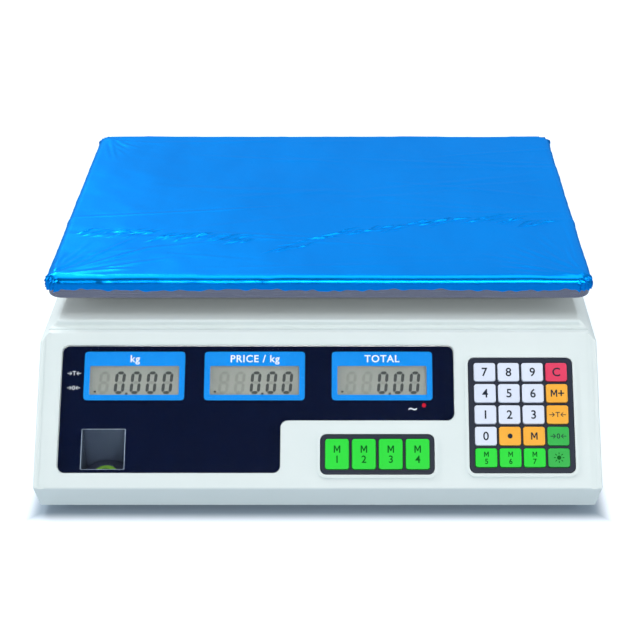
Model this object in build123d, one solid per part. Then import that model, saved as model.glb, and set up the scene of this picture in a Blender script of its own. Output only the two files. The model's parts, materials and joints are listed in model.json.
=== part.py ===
from build123d import *
import os
from math import atan2, cos, hypot, radians, sin, tan

# Retail price scale, millimetres, +Z up, front (keypad side) towards -Y.
# Origin: centre of the footprint, at the surface that the feet stand on.

# ---- overall size
overall_width = 345.0
overall_depth = 333.6
overall_height = 120.5

# ---- housing
wall = 2.8                # moulded wall of the two housings
panel_wall = 5.0          # thicker wall behind displays and keypads
deck_drop = 26.0          # top of the film down to the deck
riser = 4.3               # step from the deck down to the ledge above the panel
ledge_depth = 7.7
pan_setback = 8.0         # pan edge behind the deck's front edge
widest_height = 20.1      # height of the widest line, where the skirt turns in
skirt_bottom = 5.8
skirt_taper = 2.6
base_bottom = 4.2
panel_tilt = 46.5         # degrees from horizontal
rear_lean = 17.0          # how far the rear face leans in at its top
shoulder_width = 10.0     # chamfer between deck and side walls
shoulder_height = 9.0
edge_radius = 2.0
riser_radius = 1.5
ledge_radius = 1.2
groove_width = 0.9
step_inset = 6.8          # fine step down each side of the panel
step_width = 3.6
step_depth = 0.5

# ---- pan, film and carrier
pan_width = 340.0
pan_depth = 230.0
pan_flange = 14.0
pan_sheet = 1.0
pan_edge_radius = 5.0
pan_corner_radius = 10.0
film_thickness = 0.3
film_drop = 9.0           # how far the film reaches down the flange
carrier_width = 310.0
carrier_depth = 200.0
carrier_plate = 4.0
carrier_gap = 5.0         # deck to carrier
carrier_corner = 12.0
pad_radius = 7.0
pad_height = 3.0
pad_post_radius = 9.0     # rubber post under each pad
pad_inset = 25.0
pad_stem_radius = 3.0
rib_sheet = 3.0
rib_height = 7.0

# ---- load cell and its plate
cell_length = 150.0
cell_width = 38.0
cell_height = 24.0
cell_end_grip = 31.0      # length of each clamped end
cell_hole_radius = 7.0
cell_web = 12.0           # half spacing of the two relief holes
weigh_travel = 0.6
stop_gap = 0.8            # overload stop below the free end
bolt_radius = 3.0
bolt_head_radius = 5.0
bolt_head = 4.0
bolt_pitch = 15.0
bolt_bite = 12.0
chassis_width = 164.0
chassis_depth = 90.0
chassis_thickness = 3.0
chassis_height = 22.0     # underside of the chassis plate
chassis_pad = 4.0
chassis_screw_inset = 10.0
boss_side = 44.0          # carrier boss over the free end
boss_depth = 36.0
boss_play = 4.0

# ---- windows and displays, measured down the panel from its top crease
window_left = -158.4
window_right = 83.6
window_neck = -22.8       # right edge of the lower part of the L
window_top = 8.1
window_mid = 54.9
window_bottom = 87.1
window_corner = 4.5
window_sheet = 2.0
window_sink = 0.4         # window face below the panel face
tape = 0.15               # adhesive behind a window
window_play = 0.25
lcd_centres = (-113.4, -39.3, 39.3)
lcd_drop = 29.8
lcd_view = (58.0, 21.0)
lcd_size = (64.0, 32.0)
board_depth = 14.0        # panel face down to the circuit board
board_sheet = 1.6
board_left = -156.0
board_right = 158.0
board_neck = -8.0
board_top = 12.0
board_mid = 50.0
board_bottom = 84.0
stake_radius = 1.4
stake_boss_radius = 3.5
level_view = (-144.5, -117.5)
level_view_top = 60.0
level_view_bottom = 86.0
level_x = -130.8
level_setback = 17.0      # vial centre behind the front edge
vial_radius = 7.5
vial_height = 13.0
ring_radius = 13.5
ring_height = 12.0

rear_window_width = 262.0
rear_window_height = 44.0
rear_window_corner = 5.0
rear_window_top = 14.0    # down the rear face from its top edge
rear_lcd_pitch = 82.0
rear_board = (244.0, 40.0)

# ---- keypads
frame_stand = 0.7         # frame face above the panel face
frame_sink = 3.4          # frame underside below the panel face
frame_play = 0.2
frame_ledge = 2.0         # width of the ledge that carries a frame
frame_corner = 4.0
lip_width = 2.0
lip_height = 0.9
key_stand = 2.0
key_corner = 1.5
key_play = 0.3
key_flange = 0.45         # flange past the key, each side
key_flange_height = 1.0
key_travel = 1.2
key_pill_radius = 2.5
pill_gap = 1.3            # contact pill above the circuit board
mat_sheet = 2.0
mat_hole_radius = 3.3
numeric_size = (64.1, 71.3)
numeric_centre = (124.25, 51.75)
numeric_key = (13.2, 11.5)
numeric_pitch = (14.67, 13.22)
memory_size = (69.3, 24.5)
memory_centre = (36.15, 75.95)
memory_key = (14.4, 18.5)
memory_pitch = (16.3, 0.0)

# ---- base, feet, screws
base_wall = 2.5
base_floor = 2.8
base_play = 0.6
base_rim_top = 13.0
screw_radius = 2.0
screw_head_radius = 3.5
screw_head = 2.4
screw_length = 12.0
screw_play = 0.03
post_radius = 4.5
post_foot = 10.0          # height where housing posts meet the base bosses
front_post_inset = 14.0
side_post_inset = 14.5
foot_inset_x = 34.5
foot_inset_front = 40.0
foot_inset_rear = 25.0
foot_pad_radius = 12.0
foot_stud_radius = 3.0
foot_stud_top = 24.0
foot_boss_radius = 6.5
foot_head_radius = 5.0
foot_head = 1.3
thread_play = 0.05

# ---- power
battery_size = (70.0, 102.0, 48.0)
battery_centre = (-123.0, 40.0)
battery_play = 0.4
bay_wall = 2.0
bay_height = 30.0
door_sheet = 2.0
door_tongue = 1.5
door_play = 0.2
door_travel = 74.0
lip_sheet = 1.0
transformer_size = (42.0, 40.0, 36.0)
transformer_centre = (120.0, 0.0)
coil_overhang = 7.0
recess_depth = 5.5
recess_size = (96.0, 32.0)
recess_centre = (72.0, 38.0)
inlet_y = 53.0
inlet_flange = (48.0, 23.0, 2.2)
inlet_body = (27.4, 19.6, 22.0)
inlet_cavity = (24.6, 16.6, 20.0)
inlet_chamfer = 4.0
inlet_pin = (15.5, 2.0, 4.0)
inlet_pin_pitch = 7.0
rocker_y = 104.0
switch_bezel = (21.0, 15.0, 2.0)
switch_body = (19.0, 13.0, 13.0)
switch_cavity = (17.2, 11.0, 10.5)
rocker_half = 7.4
rocker_width = 10.6
rocker_tilt = 8.0         # degrees either side of level
rocker_pivot = 2.0        # pivot below the bezel face
rocker_pin_radius = 1.2
rocker_pin_length = 0.9

# ---- worked out from the values above
half_width = overall_width / 2
front_y = -overall_depth / 2
rear_y = overall_depth / 2
deck_z = overall_height - deck_drop
crease_z = deck_z - riser
alpha = radians(panel_tilt)
crease_y = front_y + (crease_z - widest_height) / tan(alpha)
panel_length = (crease_z - widest_height) / sin(alpha)
deck_front = crease_y + ledge_depth
pan_top = overall_height - film_thickness
pan_front = deck_front + pan_setback
pan_y = pan_front + pan_depth / 2
rear_top_y = rear_y - rear_lean
rear_length = hypot(rear_lean, deck_z - widest_height)
rear_angle = atan2(rear_lean, deck_z - widest_height)
floor_z = base_bottom + base_floor
window_back = window_sink + window_sheet

panel_plane = Plane(origin=(0, crease_y, crease_z), x_dir=(1, 0, 0), z_dir=(0, -sin(alpha), cos(alpha)))
rear_plane = Plane(origin=(0, rear_top_y, deck_z), x_dir=(-1, 0, 0),
                   z_dir=(0, cos(rear_angle), sin(rear_angle)))


def block(x, y, z):
    """Box between pairs of limits."""
    size = (x[1] - x[0], y[1] - y[0], z[1] - z[0])
    middle = ((x[0] + x[1]) / 2, (y[0] + y[1]) / 2, (z[0] + z[1]) / 2)
    return Pos(*middle) * Box(*size)


def slab(centre, size, low, high, corner):
    """Plate with rounded corners, in the XY plane of whatever it is placed on."""
    face = Pos(*centre) * RectangleRounded(*size, corner)
    return extrude(Pos(0, 0, low) * face, amount=high - low)


def disc(x, y, low, high, radius):
    return Pos(x, y, (low + high) / 2) * Cylinder(radius, high - low)


def panel_at(x, drop):
    """Point on a sloping face, in that face's own plane."""
    return (x, -drop)


def save(shape, name):
    export_step(shape, f"parts/{name}.step")


# ---- housing outlines -------------------------------------------------------

def side_points(drop):
    """Side outline in Y and Z; the foot of the skirt runs on down by drop."""
    return [
        (front_y + skirt_taper, skirt_bottom - drop), (front_y + skirt_taper, skirt_bottom),
        (front_y, widest_height), (crease_y, crease_z), (deck_front, crease_z),
        (deck_front, deck_z), (rear_top_y, deck_z), (rear_y, widest_height),
        (rear_y - skirt_taper, skirt_bottom), (rear_y - skirt_taper, skirt_bottom - drop)]


def front_points(drop):
    """Front outline in X and Z."""
    right = [
        (half_width - skirt_taper, skirt_bottom - drop), (half_width - skirt_taper, skirt_bottom),
        (half_width, widest_height), (half_width, deck_z - shoulder_height),
        (half_width - shoulder_width, deck_z)]
    return right + [(-x, z) for x, z in reversed(right)]


def housing_outer():
    side_radii = [0, 0, 0, ledge_radius, riser_radius, 0, 0, 0]
    side_face = Plane.YZ * make_face(FilletPolyline(*side_points(0)[1:-1], radius=side_radii, close=True))
    front_face = Plane.XZ * make_face(Polyline(*front_points(0)[1:-1], close=True))
    body = extrude(side_face, amount=half_width + 1, both=True)
    body &= extrude(front_face, amount=rear_y + 1, both=True)
    # the foot of the skirt stays sharp, and the riser has its own radii
    above_foot = [edge for edge in body.edges() if edge.bounding_box().max.Z > skirt_bottom + 0.01]
    soft = [edge for edge in above_foot if abs(edge.center().Y - deck_front) > ledge_depth / 4]
    return fillet(soft, edge_radius)


def housing_inner():
    side_face = make_face(Polyline(*side_points(30), close=True))
    front_face = make_face(Polyline(*front_points(30), close=True))
    side_face = Plane.YZ * offset(side_face, amount=-wall, kind=Kind.INTERSECTION)
    front_face = Plane.XZ * offset(front_face, amount=-wall, kind=Kind.INTERSECTION)
    body = extrude(side_face, amount=half_width + 1, both=True)
    return body & extrude(front_face, amount=rear_y + 1, both=True)


def window_face(grow):
    """L-shaped outline of the front window, grown by a clearance."""
    left, right, neck = window_left - grow, window_right + grow, window_neck + grow
    top, mid, bottom = -window_top + grow, -window_mid - grow, -window_bottom - grow
    points = [(left, top), (right, top), (right, mid), (neck, mid), (neck, bottom), (left, bottom)]
    return make_face(FilletPolyline(*points, radius=[window_corner] * len(points), close=True))


rear_window_centre = panel_at(0, rear_window_top + rear_window_height / 2)
numeric_point = panel_at(*numeric_centre)
memory_point = panel_at(*memory_centre)
keypads = [(numeric_point, numeric_size), (memory_point, memory_size)]
front_lcds = [panel_at(x, lcd_drop) for x in lcd_centres]
rear_lcds = [(step * rear_lcd_pitch, rear_window_centre[1]) for step in (-1, 0, 1)]

post_places = [
    (-60.0, front_y + front_post_inset), (81.5, front_y + front_post_inset),
    (-half_width + side_post_inset, deck_front + 13), (half_width - side_post_inset, deck_front + 13),
    (-half_width + side_post_inset, rear_top_y - 13), (half_width - side_post_inset, rear_top_y - 13)]
foot_places = {
    "front_left": (-half_width + foot_inset_x, front_y + foot_inset_front),
    "front_right": (half_width - foot_inset_x, front_y + foot_inset_front),
    "rear_left": (-half_width + foot_inset_x, rear_y - foot_inset_rear),
    "rear_right": (half_width - foot_inset_x, rear_y - foot_inset_rear)}
chassis_screws = [
    (side * (chassis_width / 2 - chassis_screw_inset),
     pan_y + end * (chassis_depth / 2 - chassis_screw_inset))
    for side in (-1, 1) for end in (-1, 1)]
front_stakes = [(-151, -30), (-76, -16), (-76, -46), (-2, -46), (77, -20), (77, -60), (-2, -80)]
rear_stakes = [(side * (rear_board[0] / 2 - 4), rear_window_centre[1]) for side in (-1, 1)]
free_end_x = -(cell_length - cell_end_grip) / 2
fixed_end_x = -free_end_x
cell_bottom = chassis_height + chassis_thickness + chassis_pad
cell_top = cell_bottom + cell_height
recess_x = half_width - recess_depth

battery_x = (battery_centre[0] - battery_size[0] / 2, battery_centre[0] + battery_size[0] / 2)
battery_y = (battery_centre[1] - battery_size[1] / 2, battery_centre[1] + battery_size[1] / 2)
lips_top = base_bottom + lip_sheet
door_bottom = base_bottom + door_play
door_top = door_bottom + door_sheet
channel_top = door_top + door_play
bay_floor = channel_top + 3.0
door_x = (battery_x[0] - 3, battery_x[1] + 2)
door_half = battery_size[1] / 2 + 1.0
channel_x = (door_x[0] - 1.0, door_x[1] + door_travel + 2.0)


def upper_housing(outer):
    inside = housing_inner()
    shell = outer - inside
    low, high = -panel_wall, -0.2
    front_back = panel_plane * block((-half_width + 2, half_width - 2), (-panel_length, -2.0), (low, high))
    rear_back = rear_plane * block((-150, 150), (-rear_length + 6, -4.0), (low, high))
    recess_low = recess_x - wall
    back_y = (recess_centre[0] - recess_size[0] / 2 - wall, recess_centre[0] + recess_size[0] / 2 + wall)
    back_z = (recess_centre[1] - recess_size[1] / 2 - wall, recess_centre[1] + recess_size[1] / 2 + wall)
    power_back = block((recess_low, half_width - 0.5), back_y, back_z)
    shell = shell + ((front_back + rear_back + power_back) & outer)
    # posts that the base screws into
    for x, y in post_places:
        shell += disc(x, y, post_foot, deck_z, post_radius) & outer
    # heat-stake bosses and pins for the two circuit boards
    for x, y in front_stakes:
        shell += panel_plane * disc(x, y, -board_depth, -panel_wall + 1, stake_boss_radius)
        shell += panel_plane * disc(x, y, -board_depth - board_sheet - 0.6, -board_depth, stake_radius)
    for x, y in rear_stakes:
        shell += rear_plane * disc(x, y, -board_depth, -panel_wall + 1, stake_boss_radius)
        shell += rear_plane * disc(x, y, -board_depth - board_sheet - 0.6, -board_depth, stake_radius)
    # window pockets and the openings behind them
    pocket = extrude(Pos(0, 0, -window_back - tape) * window_face(window_play), amount=10)
    shell -= panel_plane * pocket
    rear_size = (rear_window_width + 2 * window_play, rear_window_height + 2 * window_play)
    shell -= rear_plane * slab(rear_window_centre, rear_size, -window_back - tape, 8, rear_window_corner)
    for plane, places in ((panel_plane, front_lcds), (rear_plane, rear_lcds)):
        for place in places:
            shell -= plane * slab(place, lcd_view, -panel_wall - 1, 1, 2.0)
    shell -= panel_plane * block(level_view, (-level_view_bottom, -level_view_top), (-panel_wall - 3, 1))
    # keypad pockets, each with a raised lip round it
    for place, size in keypads:
        outer_lip = (size[0] + 2 * (frame_play + lip_width), size[1] + 2 * (frame_play + lip_width))
        pocket_size = (size[0] + 2 * frame_play, size[1] + 2 * frame_play)
        through = (size[0] - 2 * frame_ledge, size[1] - 2 * frame_ledge)
        lip_corner = frame_corner + lip_width
        shell += panel_plane * slab(place, outer_lip, -1, lip_height, lip_corner)
        shell -= panel_plane * slab(place, pocket_size, -frame_sink, 5, frame_corner)
        shell -= panel_plane * slab(place, through, -panel_wall - 1, 1, frame_corner - frame_ledge / 2)
    # fine groove between ledge and panel
    groove_y = deck_front - ledge_depth / 2
    groove = block((-half_width - 1, half_width + 1), (groove_y, groove_y + groove_width),
                   (crease_z - groove_width, crease_z + 1))
    shell -= groove
    # shallow step that frames the panel on both sides
    for side in (-1, 1):
        x_step = sorted((side * (half_width - step_inset), side * (half_width - step_inset + step_width)))
        shell -= panel_plane * block(x_step, (-panel_length - 20, 0), (-step_depth, 5))
    # deck opening for the carrier's boss
    boss_y = (pan_y - boss_depth / 2 - boss_play, pan_y + boss_depth / 2 + boss_play)
    boss_x = (free_end_x - boss_side / 2 - boss_play, free_end_x + boss_side / 2 + boss_play)
    shell -= block(boss_x, boss_y, (deck_z - wall - 2, deck_z + 2))
    # power recess with its two cut-outs
    shell -= block((recess_x, half_width + 5),
                   (recess_centre[0] - recess_size[0] / 2, recess_centre[0] + recess_size[0] / 2),
                   (recess_centre[1] - recess_size[1] / 2, recess_centre[1] + recess_size[1] / 2))
    for y, size in ((inlet_y, inlet_body), (rocker_y, switch_body)):
        half_y = size[0] / 2 + 0.2
        half_z = size[1] / 2 + 0.2
        shell -= block((recess_x - wall - 1, recess_x + 1), (y - half_y, y + half_y),
                       (recess_centre[1] - half_z, recess_centre[1] + half_z))
    for x, y in post_places:
        shell -= disc(x, y, post_foot - 1, base_bottom + screw_head + screw_length + 1.0,
                      screw_radius + screw_play)
    return shell


def base_housing():
    rim_x = half_width - skirt_taper - wall - base_play
    rim_front = front_y + skirt_taper + wall + base_play
    rim_rear = rear_y - skirt_taper - wall - base_play
    tray = block((-rim_x, rim_x), (rim_front, rim_rear), (base_bottom, base_rim_top))
    tray = fillet(tray.edges().filter_by(Axis.Z), 2.0)
    tray -= block((-rim_x + base_wall, rim_x - base_wall), (rim_front + base_wall, rim_rear - base_wall),
                  (floor_z, base_rim_top + 1))
    # bosses under the housing posts, the chassis plate and the feet
    for x, y in post_places:
        tray += disc(x, y, base_bottom, post_foot, post_radius + 1.5)
    for x, y in foot_places.values():
        tray += disc(x, y, base_bottom, foot_stud_top - 4, foot_boss_radius)
    for x, y in chassis_screws:
        tray += disc(x, y, base_bottom, chassis_height, post_radius + 1)
    # battery bay over the sliding door's channel
    channel_y = battery_size[1] / 2 + 1.0 + door_tongue + door_play + 1.5
    tray += block((channel_x[0] - 1, channel_x[1] + 2),
                  (battery_centre[1] - channel_y, battery_centre[1] + channel_y), (base_bottom, bay_floor))
    bay = block((battery_x[0] - battery_play - bay_wall, battery_x[1] + battery_play + bay_wall),
                (battery_y[0] - battery_play - bay_wall, battery_y[1] + battery_play + bay_wall),
                (base_bottom, bay_height))
    tray += bay
    tray -= block((battery_x[0] - battery_play, battery_x[1] + battery_play),
                  (battery_y[0] - battery_play, battery_y[1] + battery_play),
                  (base_bottom - 1, bay_height + 1))
    narrow = door_half + door_play
    wide = door_half + door_tongue + door_play
    tray -= block(channel_x, (battery_centre[1] - narrow, battery_centre[1] + narrow), (0, channel_top))
    tray -= block(channel_x, (battery_centre[1] - wide, battery_centre[1] + wide), (lips_top, channel_top))
    # screw and stud holes
    for x, y in post_places:
        tray -= disc(x, y, base_bottom - 1, base_bottom + screw_head + 0.2, screw_head_radius + 0.5)
        tray -= disc(x, y, base_bottom - 1, post_foot + 1, screw_radius + 0.25)
    for x, y in foot_places.values():
        tray -= disc(x, y, base_bottom - 1, foot_stud_top, foot_stud_radius + thread_play)
    for x, y in chassis_screws:
        tray -= disc(x, y, chassis_height + chassis_thickness - screw_length - 1, chassis_height + 1,
                     screw_radius + screw_play)
    return tray


def case_screw(x, y, seat, way):
    """Pan head screw: head against seat, shank running on in direction way (+1 up, -1 down)."""
    low, high = sorted((seat - way * screw_head, seat))
    screw = disc(x, y, low, high, screw_head_radius)
    slot = block((x - 2.2, x + 2.2), (y - 0.4, y + 0.4),
                 (seat - way * screw_head - 1, seat - way * screw_head + 1))
    low, high = sorted((seat, seat + way * screw_length))
    return screw - slot + disc(x, y, low, high, screw_radius)


def case_screws():
    seat = base_bottom + screw_head + 0.2
    screws = [case_screw(x, y, seat, 1) for x, y in post_places]
    plate_top = chassis_height + chassis_thickness
    screws += [case_screw(x, y, plate_top, -1) for x, y in chassis_screws]
    return Compound(screws)


def rounded_cap(size, centre, top, height, edge, corner):
    """Solid block with rounded upright corners and a rounded top edge."""
    solid = extrude(Pos(centre[0], centre[1], top - height) * RectangleRounded(*size, corner),
                    amount=height)
    return fillet(solid.edges().group_by(Axis.Z)[-1], edge)


def pan_solid(grow, top, height):
    size = (pan_width + 2 * grow, pan_depth + 2 * grow)
    return rounded_cap(size, (0, pan_y), top, height, pan_edge_radius + grow, pan_corner_radius + grow)


def platter():
    hollow = pan_solid(-pan_sheet, pan_top - pan_sheet, pan_flange)
    return pan_solid(0, pan_top, pan_flange) - hollow


def protective_film():
    skin = pan_solid(film_thickness, pan_top + film_thickness, film_drop + film_thickness)
    return skin - pan_solid(0, pan_top, pan_flange)


carrier_low = deck_z + carrier_gap
carrier_high = carrier_low + carrier_plate
pad_low = pan_top - pan_sheet - pad_height
pad_places = [
    (side * (carrier_width / 2 - pad_inset), pan_y + end * (carrier_depth / 2 - pad_inset))
    for side in (-1, 1) for end in (-1, 1)]
top_bolt_places = [(free_end_x - bolt_pitch / 2, pan_y), (free_end_x + bolt_pitch / 2, pan_y)]
base_bolt_places = [(fixed_end_x - bolt_pitch / 2, pan_y), (fixed_end_x + bolt_pitch / 2, pan_y)]
boss_seat = cell_top + 8.0


def platter_carrier():
    plate = slab((0, pan_y), (carrier_width, carrier_depth), carrier_low, carrier_high, carrier_corner)
    rib = rib_sheet
    rib_top = carrier_high + rib_height
    rib_x = carrier_width / 2 - pad_inset
    rib_y = carrier_depth / 2 - pad_inset
    for side in (-1, 1):
        plate += block((side * rib_x - rib / 2, side * rib_x + rib / 2), (pan_y - rib_y, pan_y + rib_y),
                       (carrier_high - 1, rib_top))
        plate += block((-rib_x, rib_x), (pan_y + side * rib_y - rib / 2, pan_y + side * rib_y + rib / 2),
                       (carrier_high - 1, rib_top))
    plate += block((-rib_x, rib_x), (pan_y - boss_depth / 2, pan_y - boss_depth / 2 + rib),
                   (carrier_high - 1, rib_top))
    plate += block((-rib_x, rib_x), (pan_y + boss_depth / 2 - rib, pan_y + boss_depth / 2),
                   (carrier_high - 1, rib_top))
    boss = slab((free_end_x, pan_y), (boss_side, boss_depth), cell_top, carrier_high, 3.0)
    plate += boss
    for x, y in pad_places:
        plate -= disc(x, y, carrier_high, rib_top + 1, pad_post_radius + thread_play)
        plate -= disc(x, y, carrier_low - 1, carrier_high + 1, pad_stem_radius + thread_play)
    for x, y in top_bolt_places:
        plate -= disc(x, y, boss_seat, rib_top + 1, bolt_head_radius + 1)
        plate -= disc(x, y, cell_top - 1, boss_seat + 1, bolt_radius + 0.3)
    return plate


def carrier_pads():
    pads = []
    for x, y in pad_places:
        pad = disc(x, y, pad_low, pad_low + pad_height, pad_radius)
        pad = fillet(pad.edges().group_by(Axis.Z)[-1], 0.8)
        pad += disc(x, y, carrier_high, pad_low, pad_post_radius)
        pads.append(pad + disc(x, y, carrier_low, carrier_high, pad_stem_radius))
    return Compound(pads)


def load_cell():
    half = cell_length / 2
    beam = block((-half, half), (pan_y - cell_width / 2, pan_y + cell_width / 2), (cell_bottom, cell_top))
    middle = (cell_bottom + cell_top) / 2
    bore = Rotation(90, 0, 0) * Cylinder(cell_hole_radius, cell_width + 2)
    for side in (-1, 1):
        beam -= Pos(side * cell_web, pan_y, middle) * bore
    beam -= block((-cell_web, cell_web), (pan_y - cell_width, pan_y + cell_width),
                  (middle - 1.5, middle + 1.5))
    for x, y in top_bolt_places:
        beam -= disc(x, y, cell_top - bolt_bite - 1, cell_top + 1, bolt_radius + thread_play)
    for x, y in base_bolt_places:
        beam -= disc(x, y, cell_bottom - 1, cell_bottom + bolt_bite + 1, bolt_radius + thread_play)
    return beam


def hex_bolt(x, y, seat, reach, way):
    """Hexagon head against seat, shank reaching on in direction way."""
    low, high = sorted((seat - way * bolt_head, seat))
    head = extrude(Pos(x, y, low) * RegularPolygon(bolt_head_radius, 6), amount=high - low)
    low, high = sorted((seat, seat + way * reach))
    return head + disc(x, y, low, high, bolt_radius)


def load_cell_top_bolts():
    reach = boss_seat - cell_top + bolt_bite
    return Compound([hex_bolt(x, y, boss_seat, reach, -1) for x, y in top_bolt_places])


def load_cell_base_bolts():
    reach = cell_bottom - chassis_height + bolt_bite
    return Compound([hex_bolt(x, y, chassis_height, reach, 1) for x, y in base_bolt_places])


def chassis_plate():
    x, y = chassis_width / 2, chassis_depth / 2
    top = chassis_height + chassis_thickness
    plate = slab((0, pan_y), (2 * x, 2 * y), chassis_height, top, 5.0)
    grip = (cell_length / 2 - cell_end_grip, cell_length / 2)
    plate += block(grip, (pan_y - cell_width / 2, pan_y + cell_width / 2), (top, cell_bottom))
    for bx, by in base_bolt_places:
        plate -= disc(bx, by, chassis_height - 1, cell_bottom + 1, bolt_radius + 0.3)
    plate -= disc(free_end_x, pan_y, chassis_height - 1, top + 1, bolt_radius + thread_play)
    for sx, sy in chassis_screws:
        plate -= disc(sx, sy, chassis_height - 1, top + 1, screw_radius + 0.25)
    return plate


def overload_stop_screw():
    reach = cell_bottom - stop_gap - chassis_height
    return hex_bolt(free_end_x, pan_y, chassis_height, reach, 1)


def front_display_window():
    sheet = extrude(Pos(0, 0, -window_back) * window_face(0), amount=window_sheet)
    return panel_plane * sheet


def rear_display_window():
    size = (rear_window_width, rear_window_height)
    return rear_plane * slab(rear_window_centre, size, -window_back, -window_sink, rear_window_corner)


def lcd_panels():
    """Glass with its light box behind, resting between housing wall and circuit board."""
    modules = []
    for plane, places in ((panel_plane, front_lcds), (rear_plane, rear_lcds)):
        for place in places:
            modules.append(plane * slab(place, lcd_size, -board_depth, -panel_wall, 1.0))
    return Compound(modules)


def front_circuit_board():
    points = [(board_left, -board_top), (board_right, -board_top), (board_right, -board_bottom),
              (board_neck, -board_bottom), (board_neck, -board_mid), (board_left, -board_mid)]
    sheet = extrude(Pos(0, 0, -board_depth - board_sheet) * make_face(Polyline(*points, close=True)),
                    amount=board_sheet)
    back = -board_depth - board_sheet
    for x, y, width, height, depth in ((-40, -30, 26, 14, 2.2), (20, -34, 14, 14, 2.0),
                                       (-110, -30, 30, 6, 7.0), (120, -24, 24, 6, 7.0),
                                       (60, -30, 12, 12, 8.0)):
        sheet += slab((x, y), (width, height), back - depth, back, 0.8)
    for x, y in front_stakes:
        sheet -= disc(x, y, back - 1, -board_depth + 1, stake_radius + thread_play)
    board = panel_plane * sheet
    for x, y in post_places[:2]:
        board -= disc(x, y, 0, deck_z, post_radius + 1)
    return board


def rear_circuit_board():
    back = -board_depth - board_sheet
    sheet = slab(rear_window_centre, rear_board, back, -board_depth, 1.5)
    sheet += slab((0, rear_window_centre[1]), (30, 6), back - 6.0, back, 0.8)
    for x, y in rear_stakes:
        sheet -= disc(x, y, back - 1, -board_depth + 1, stake_radius + thread_play)
    return rear_plane * sheet


# ---- keypads

def key_grid(centre, pitch, columns, rows):
    """Centres of the keys, row by row from the top left."""
    return [(centre[0] + (column - (columns - 1) / 2) * pitch[0],
             centre[1] + ((rows - 1) / 2 - row) * pitch[1])
            for row in range(rows) for column in range(columns)]


numeric_places = key_grid(numeric_point, numeric_pitch, 4, 5)
memory_places = key_grid(memory_point, memory_pitch, 4, 1)
numeric_names = ["7", "8", "9", "clear", "4", "5", "6", "memory_plus", "1", "2", "3", "tare",
                 "0", "point", "memory", "zero", "m5", "m6", "m7", "light"]
memory_names = ["m1", "m2", "m3", "m4"]


def keypad_frame(centre, size, places, key):
    frame = slab(centre, size, -frame_sink, frame_stand, frame_corner)
    frame = fillet(frame.edges().group_by(Axis.Z)[-1], 0.5)
    for place in places:
        opening = (key[0] + 2 * key_play, key[1] + 2 * key_play)
        frame -= slab(place, opening, -frame_sink - 1, frame_stand + 1, key_corner + key_play)
    return panel_plane * frame


def keypad_mats():
    """Rubber mats on the circuit board, pierced for the contact pills."""
    mats = []
    low, high = -board_depth, -board_depth + mat_sheet
    for (x, y), size, places in ((numeric_point, numeric_size, numeric_places),
                                 (memory_point, memory_size, memory_places)):
        bottom = max(y - size[1] / 2 + frame_ledge, -board_bottom + 0.5)
        top = y + size[1] / 2 - frame_ledge
        mat_size = (size[0] - 2 * frame_ledge, top - bottom)
        mat = slab((x, (top + bottom) / 2), mat_size, low, high, 1.5)
        for px, py in places:
            mat -= disc(px, py, low - 1, high + 1, mat_hole_radius)
        mats.append(panel_plane * mat)
    return Compound(mats)


def key_cap(place, size):
    cap = slab(place, size, -frame_sink, key_stand, key_corner)
    cap = fillet(cap.edges().group_by(Axis.Z)[-1], 0.6)
    flange = (size[0] + 2 * key_flange, size[1] + 2 * key_flange)
    cap += slab(place, flange, -frame_sink - key_flange_height, -frame_sink, key_corner)
    cap += disc(place[0], place[1], -board_depth + pill_gap, -frame_sink - key_flange_height,
                key_pill_radius)
    return panel_plane * cap


# ---- level, feet, power

level_y = front_y + level_setback


def level_vial():
    vial = disc(level_x, level_y, floor_z, floor_z + vial_height, vial_radius)
    return fillet(vial.edges().group_by(Axis.Z)[-1], 1.2)


def level_vial_ring():
    ring = disc(level_x, level_y, floor_z, floor_z + ring_height, ring_radius)
    ring -= disc(level_x, level_y, floor_z - 1, floor_z + ring_height + 1, vial_radius + 0.1)
    rim_inside = front_y + skirt_taper + wall + base_play + base_wall + 0.3
    return ring & block((-half_width, half_width), (rim_inside, 0), (0, 60))


def foot_pad(x, y):
    pad = disc(x, y, 0, base_bottom, foot_pad_radius)
    pad = fillet(pad.edges().group_by(Axis.Z)[0], 1.0)
    head_low = 1.4
    pad -= disc(x, y, head_low, head_low + foot_head + 0.1, foot_head_radius + 0.1)
    return pad - disc(x, y, head_low + foot_head, base_bottom + 1, foot_stud_radius + 0.1)


def foot_stud(x, y):
    head_low = 1.4
    stud = disc(x, y, head_low, head_low + foot_head, foot_head_radius)
    stud += disc(x, y, head_low + foot_head, foot_stud_top, foot_stud_radius)
    return stud - block((x - 4, x + 4), (y - 0.6, y + 0.6), (foot_stud_top - 1.5, foot_stud_top + 1))


def battery():
    low = door_top + 0.3
    case = block(battery_x, battery_y, (low, low + battery_size[2]))
    case = fillet(case.edges().filter_by(Axis.Z), 2.0)
    for side in (-1, 1):
        x = battery_centre[0] + side * 22
        case += block((x - 3, x + 3), (battery_y[1] - 14, battery_y[1] - 9),
                      (low + battery_size[2], low + battery_size[2] + 5))
    return case


def battery_door():
    y = battery_centre[1]
    plate = block(door_x, (y - door_half, y + door_half), (door_bottom, door_top))
    tongue_low = lips_top + door_play
    plate += block(door_x, (y - door_half - door_tongue, y + door_half + door_tongue),
                   (tongue_low, door_top))
    for step in range(5):
        x = door_x[1] - 8 - 3 * step
        plate -= block((x, x + 1.2), (y - 15, y + 15), (door_bottom - 1, door_bottom + 0.6))
    return plate


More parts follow.
